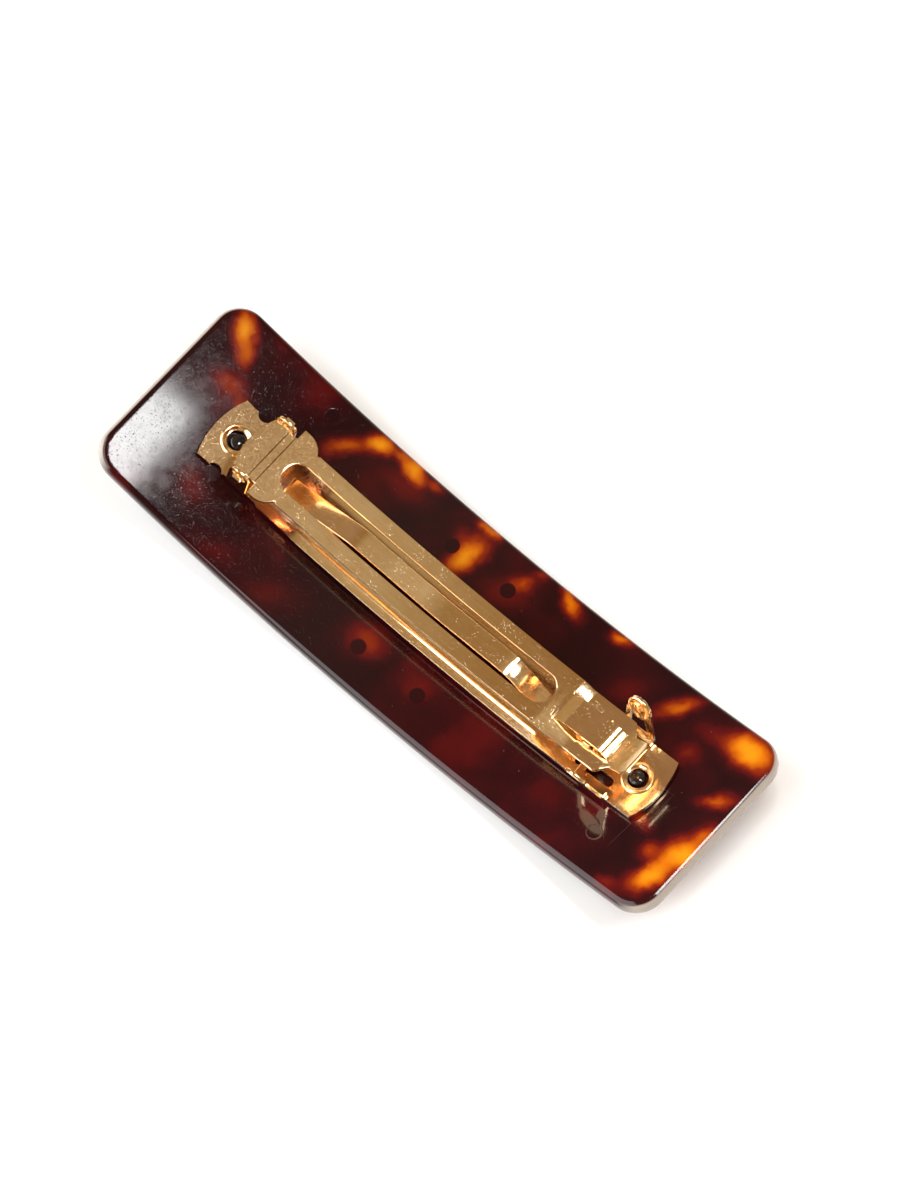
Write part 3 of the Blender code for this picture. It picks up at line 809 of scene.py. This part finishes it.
def low_rib(side):
    """A low rib with a soft back and round ends, lower on the hinge side of the middle."""
    steps = 8
    loops = []
    for step in range(steps + 1):
        inset = RIB_HALF_WIDTH * 0.9 * step / steps
        outline = slot_points(RIB_START + inset, RIB_END - inset, side * RIB_PLACE, RIB_HALF_WIDTH - inset, 8)
        rise = math.sin(math.radians(90.0 * step / steps)) ** 2
        loops.append([(x, y, BASE_THICK - RIB_FOOT + (RIB_HEIGHT + RIB_FOOT) * rise) for x, y in outline])
    foot = [(x, y, BASE_THICK / 2) for x, y, _ in loops[0]]
    mesh = ring_body([foot] + loops)
    cut_across(mesh)
    for vert in mesh.verts:
        swell = RIB_LOW_SHARE + (1 - RIB_LOW_SHARE) * share(vert.co.x, -4.0, 4.0)
        vert.co.z = min(vert.co.z, BASE_THICK) + max(vert.co.z - BASE_THICK, 0.0) * swell
    return mesh


def eyelet_collar(place):
    """A turned collar round an eyelet, with a rolled lip that slopes down into the hole."""
    section = (
        (2.38, BASE_THICK - 0.5),
        (2.34, BASE_THICK + 0.02),
        (2.24, BASE_THICK + 0.20),
        (2.10, BASE_THICK + 0.28),
        (1.95, BASE_THICK + 0.25),
        (1.62, BASE_THICK + 0.06),
        (1.42, BASE_THICK - 0.08),
        (1.34, BASE_THICK - 0.25),
        (1.34, BASE_THICK - 0.5),
    )
    mesh = bmesh.new()
    rings = [[mesh.verts.new((x, y, height)) for x, y in circle_points((place, 0.0), radius)]
             for radius, height in section]
    for outer, inner in zip(rings, rings[1:] + rings[:1]):
        for index in range(len(outer)):
            after = (index + 1) % len(outer)
            mesh.faces.new((outer[index], outer[after], inner[after], inner[index]))
    bmesh.ops.recalc_face_normals(mesh, faces=mesh.faces[:])
    return mesh


def flank_drop(place, across):
    """How far the base's flanks slope down beside its middle, between the hinge and the catch."""
    along = share(place, FLANK_START, FLANK_START + FLANK_RUN) * share(place, FLANK_END, FLANK_END - FLANK_RUN)
    return FLANK_DROP * along * share(abs(across), FLANK_INNER, BASE_HALF_WIDTH)


def build_base(material):
    holes = [circle_points((-EYELET_PLACE, 0.0), EYELET_HOLE), circle_points((EYELET_PLACE, 0.0), EYELET_HOLE)]
    for side in (-1, 1):
        holes.append(slot_points(WINDOW_START, WINDOW_END, side * WINDOW_PLACE, WINDOW_HALF_WIDTH))
    strip = slab(mirrored_outline(base_half_outline()), holes, 0.0, BASE_THICK)
    round_edges(strip, STRIP_EDGE)
    ears = []
    for side in (-1, 1):
        ear = profile_solid(ear_profile(), side * EAR_INNER, side * (EAR_INNER + EAR_THICK))
        bore = profile_solid(circle_points((PIVOT_PLACE, PIVOT_HEIGHT), EAR_HOLE), -LUG_REACH, LUG_REACH)
        ears.append(fuse([ear], [bore]))
        round_edges(ears[-1])
    mesh = fuse([strip] + ears + [low_rib(side) for side in (-1, 1)]
                + [eyelet_collar(place) for place in (-EYELET_PLACE, EYELET_PLACE)])
    cut_across(mesh)
    for vert in mesh.verts:
        vert.co.z -= flank_drop(vert.co.x, vert.co.y)
    bend(mesh, on_clasp)
    add_piece("base_strip", mesh, material, "back", "base")


# Arm

def arm_half_outline():
    fan = math.degrees(math.asin(ARM_NECK_HALF_WIDTH / TONGUE_ROUND))
    tongue = arc_points((TONGUE_END + TONGUE_ROUND, 0.0), TONGUE_ROUND, 180.0, 180.0 - fan, 10)
    shoulder = arc_points((SHOULDER_END - 2.9, SHOULDER_HALF_WIDTH - 3.1), 3.1, 88.0, 27.0, 10)
    nose_corner = arc_points((NOSE_END - 0.9, NOSE_HALF_WIDTH - 0.9), 0.9, 90.0, 0.0, 6)
    wing_corner = arc_points((WING_END - 0.5, ARM_HALF_WIDTH - 0.5), 0.5, 90.0, 40.0, 4)
    return tongue + [
        (PIVOT_PLACE - LUG_HALF_LENGTH, ARM_NECK_HALF_WIDTH),
        (PIVOT_PLACE - LUG_HALF_LENGTH, LUG_REACH),
        (PIVOT_PLACE + LUG_HALF_LENGTH, LUG_REACH),
        (PIVOT_PLACE + LUG_HALF_LENGTH, ARM_NECK_HALF_WIDTH),
        (SHOULDER_START, ARM_NECK_HALF_WIDTH),
        (SHOULDER_START, SHOULDER_HALF_WIDTH),
    ] + shoulder + [(SHOULDER_END + 0.1, ARM_HALF_WIDTH)] + wing_corner + [
        (NOSE_START - 0.2, NOSE_HALF_WIDTH + 0.3),
        (NOSE_START + 0.2, NOSE_HALF_WIDTH),
    ] + nose_corner + [(NOSE_END, 0.0)]


def eased(part):
    """The same share with short round turns at both ends."""
    turn = 0.16
    if part < turn:
        return part * part / (2 * turn) / (1 - turn)
    if part > 1 - turn:
        return 1 - (1 - part) ** 2 / (2 * turn) / (1 - turn)
    return (part - turn / 2) / (1 - turn)


def arm_lift(place, across=0.0):
    """Height of the arm's sheet above its level at the hinge: the step down and the upturned nose."""
    nose = NOSE_RISE * share(place, WING_END, NOSE_END) ** 1.5
    spread = STEP_DOWN_SPREAD * share(across, SLOT_HALF_WIDTH, -SLOT_HALF_WIDTH)
    return nose - STEP_DOWN * eased(share(place, STEP_DOWN_START - spread, STEP_DOWN_END + spread))


def bridge_line():
    """Middle line of the raised bridge, which leaves the sheet above its step and meets it at the wings."""
    sheet_end = PIVOT_HEIGHT + arm_lift(BRIDGE_END)
    turn = BRIDGE_END - BRIDGE_FLAT_END
    return [
        (BRIDGE_START - 0.6, PIVOT_HEIGHT - 0.02),
        (BRIDGE_START - 0.1, PIVOT_HEIGHT),
        (BRIDGE_START + 0.35, PIVOT_HEIGHT + 0.1),
        (BRIDGE_FLAT_START - 0.45, BRIDGE_TOP - 0.1),
        (BRIDGE_FLAT_START, BRIDGE_TOP),
        (BRIDGE_FLAT_START + 2.0, BRIDGE_TOP),
        (BRIDGE_FLAT_END, BRIDGE_TOP),
        (BRIDGE_FLAT_END + turn * 0.56, BRIDGE_TOP - 0.06),
        (BRIDGE_FLAT_END + turn * 0.75, BRIDGE_TOP - 0.34),
        (BRIDGE_FLAT_END + turn * 0.87, (BRIDGE_TOP + sheet_end) / 2 - 0.1),
        (BRIDGE_END, sheet_end + 0.12),
        (BRIDGE_END + 0.7, PIVOT_HEIGHT + arm_lift(BRIDGE_END + 0.7) - 0.04),
    ]


def build_arm(material):
    low = PIVOT_HEIGHT - ARM_THICK / 2
    slot = slot_points(SLOT_START, SLOT_END, 0.0, SLOT_HALF_WIDTH, 20)
    side = BRIDGE_HALF_WIDTH + BRIDGE_SLIT
    opening = [(BRIDGE_START, -side), (BRIDGE_END, -side), (BRIDGE_END, side), (BRIDGE_START, side)]
    sheet = slab(mirrored_outline(arm_half_outline()), [slot, opening], low, low + ARM_THICK)
    round_edges(sheet, STRIP_EDGE)
    forms = [STEP_DOWN_START - STEP_DOWN_SPREAD + 0.2 * step for step in range(37)]
    forms += [WING_END + (NOSE_END - WING_END) * step / 14 for step in range(14)]
    for place in forms:
        cut_at(sheet, place)
    for vert in sheet.verts:
        vert.co.z += arm_lift(vert.co.x, vert.co.y)
    bridge = profile_solid(strip_profile(smooth_line(bridge_line(), 5), ARM_THICK * 0.9),
                           -BRIDGE_HALF_WIDTH, BRIDGE_HALF_WIDTH)
    round_edges(bridge)
    mesh = fuse([sheet, bridge])
    bend(mesh, on_clasp)
    add_piece("arm_sheet", mesh, material, "closing_arm", "arm")


# Bow spring

def build_spring(material):
    profile = strip_profile(smooth_line(SPRING_LINE, 8), SPRING_THICK)
    mesh = profile_solid(profile, -SPRING_HALF_WIDTH, SPRING_HALF_WIDTH)
    round_edges(mesh, METAL_EDGE * 0.8)
    for vert in mesh.verts:
        vert.co = on_clasp(vert.co.x, vert.co.y, vert.co.z) * MM
    add_piece("spring_leaf", mesh, material, "back", "bow_spring")


# Catch levers

def dished_pad(side):
    """A round pad with a rolled rim and a hollow face with a small button in its middle."""
    section = (
        (0.0, 0.28), (0.3, 0.26), (0.55, 0.12), (1.2, 0.10), (1.55, 0.24),
        (PAD_RADIUS - 0.14, 0.30), (PAD_RADIUS - 0.03, 0.22), (PAD_RADIUS, 0.1), (PAD_RADIUS, -0.16),
        (PAD_RADIUS - 0.12, -0.28), (1.3, -0.22), (0.0, -0.22),
    )
    mesh = bmesh.new()
    middle = PAD_THICK / 2
    rings = []
    for radius, rise in section:
        if radius == 0.0:
            rings.append([mesh.verts.new((PAD_PLACE, side * (middle - rise), PAD_REACH))])
        else:
            rings.append([mesh.verts.new((x, side * (middle - rise), z))
                          for x, z in circle_points((PAD_PLACE, PAD_REACH), radius, 36)])
    for first, second in zip(rings, rings[1:]):
        for index in range(36):
            after = (index + 1) % 36
            if len(first) == 1:
                mesh.faces.new((first[0], second[index], second[after]))
            elif len(second) == 1:
                mesh.faces.new((first[index], first[after], second[0]))
            else:
                mesh.faces.new((first[index], first[after], second[after], second[index]))
    bmesh.ops.recalc_face_normals(mesh, faces=mesh.faces[:])
    return mesh


def lever_shapes(side):
    left = LEVER_PLACE - LEVER_HALF_WIDTH
    right = LEVER_PLACE + LEVER_HALF_WIDTH

    def across(a, b):
        return min(side * a, side * b), max(side * a, side * b)

    foot_y = across(LEVER_FOOT_INNER, LEVER_FOOT_OUTER)
    foot = block((left, foot_y[0], LEVER_FLOOR), (LEVER_FOOT_END, foot_y[1], LEVER_FLOOR + LEVER_THICK))
    strip_y = across(HOOK_INNER, LEVER_AXIS_Y)
    strip = block((left, strip_y[0], LEVER_FLOOR), (right, strip_y[1], LEVER_FLOOR + LEVER_THICK))
    post_y = across(HOOK_INNER, HOOK_INNER + HOOK_POST_THICK)
    post = block((left, post_y[0], LEVER_FLOOR), (right, post_y[1], HOOK_FLOOR + HOOK_THICK))
    lip_y = across(HOOK_INNER, HOOK_OUTER)
    lip = block((left, lip_y[0], HOOK_FLOOR), (right, lip_y[1], HOOK_FLOOR + HOOK_THICK))
    stem_y = across(0.05, PAD_THICK - 0.08)
    stem = block((left + 0.35, stem_y[0], -0.5), (right, stem_y[1], PAD_REACH - PAD_RADIUS / 2))
    strap_outline = [(PAD_PLACE + x, PAD_REACH + z) for x, z in STRAP_LINE]
    strap = profile_solid(strap_outline, *across(0.14, PAD_THICK - 0.14))
    pad = dished_pad(side)
    for leaning in (stem, strap, pad):
        for vert in leaning.verts:
            y, z = vert.co.y, vert.co.z
            vert.co.y = side * LEVER_AXIS_Y + y * math.cos(PAD_LEAN) + side * z * math.sin(PAD_LEAN)
            vert.co.z = PAD_ROOT_HEIGHT + z * math.cos(PAD_LEAN) - side * y * math.sin(PAD_LEAN)
    return [foot, strip, post, lip, stem, strap, pad]


def build_lever(end, side, material):
    mesh = fuse(lever_shapes(side))
    round_edges(mesh)
    bend(mesh, on_clasp)
    add_piece("lever_%s_sheet" % end, mesh, material, "lever_" + end, "catch_lever_" + end)


# Stage

def add_camera():
    right = Vector((math.cos(CAMERA_AZIMUTH), math.sin(CAMERA_AZIMUTH), 0.0))
    back = Vector((math.sin(CAMERA_AZIMUTH) * math.cos(CAMERA_ELEVATION),
                   -math.cos(CAMERA_AZIMUTH) * math.cos(CAMERA_ELEVATION), math.sin(CAMERA_ELEVATION)))
    up = back.cross(right)
    data = bpy.data.cameras.new("camera")
    data.sensor_fit = "VERTICAL"
    data.sensor_height = SENSOR_HEIGHT
    data.lens = SENSOR_HEIGHT * PIXELS_PER_MM * CAMERA_DISTANCE / IMAGE_HEIGHT
    data.clip_start = 0.01
    camera = bpy.data.objects.new("camera", data)
    target = Vector((0.0, 0.0, CLIP_HEIGHT))
    place = target + back * CAMERA_DISTANCE
    place += up * (CLIP_DOWN_PIXELS / PIXELS_PER_MM) - right * (CLIP_RIGHT_PIXELS / PIXELS_PER_MM)
    camera.location = place * MM
    camera.rotation_euler = back.to_track_quat("Z", "Y").to_euler()
    bpy.context.scene.collection.objects.link(camera)
    bpy.context.scene.camera = camera


def add_softbox(name, place, aim, size, radiance, colour):
    """A square light at a place in metres, turned to a point, with the light it sends out per area and angle."""
    data = bpy.data.lights.new(name, "AREA")
    data.shape = "RECTANGLE"
    data.size, data.size_y = size
    data.energy = radiance * math.pi * size[0] * size[1]
    data.color = colour
    light = bpy.data.objects.new(name, data)
    light.location = place
    light.rotation_euler = (Vector(place) - Vector(aim)).to_track_quat("Z", "Y").to_euler()
    bpy.context.scene.collection.objects.link(light)


def add_world():
    """A pale warm tent: brighter low round the sides than overhead, and brightest above the middle."""
    world = bpy.data.worlds.new("studio")
    world.use_nodes = True
    nodes = world.node_tree.nodes
    links = world.node_tree.links
    direction = nodes.new("ShaderNodeTexCoord").outputs["Generated"]
    parts = nodes.new("ShaderNodeSeparateXYZ")
    links.new(direction, parts.inputs[0])
    height = nodes.new("ShaderNodeMapRange")
    links.new(parts.outputs["Z"], height.inputs["Value"])
    for socket, value in zip(height.inputs[1:], TENT):
        socket.default_value = value
    links.new(height.outputs[0], nodes["Background"].inputs["Strength"])
    along = nodes.new("ShaderNodeMapRange")
    links.new(parts.outputs["X"], along.inputs["Value"])
    along.inputs["From Min"].default_value = -1.0
    colours = nodes.new("ShaderNodeValToRGB")
    links.new(along.outputs[0], colours.inputs[0])
    while len(colours.color_ramp.elements) < len(TENT_COLOURS):
        colours.color_ramp.elements.new(1.0)
    for element, (place, colour) in zip(colours.color_ramp.elements, TENT_COLOURS):
        element.position = (place + 1.0) / 2.0
        element.color = (*colour, 1.0)
    links.new(colours.outputs[0], nodes["Background"].inputs["Color"])
    bpy.context.scene.world = world


def add_stage():
    mesh = bmesh.new()
    reach = 1.5
    corners = [mesh.verts.new((x, y, -0.00002)) for x, y in ((-reach, -reach), (reach, -reach),
                                                            (reach, reach), (-reach, reach))]
    mesh.faces.new(corners)
    data = bpy.data.meshes.new("studio_floor")
    mesh.to_mesh(data)
    mesh.free()
    data.materials.append(floor_paint())
    floor = bpy.data.objects.new("studio_floor", data)
    bpy.context.scene.collection.objects.link(floor)
    add_world()
    for light in LIGHTS:
        add_softbox(*light)
    bpy.context.scene.view_settings.view_transform = "Standard"


def main():
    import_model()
    shell = acetate()
    metal = gold()
    build_plate(shell)
    build_pegs(dark_plastic())
    build_base(metal)
    build_spring(metal)
    build_arm(metal)
    build_lever("far", 1, metal)
    build_lever("near", -1, metal)
    add_stage()
    add_camera()


main()
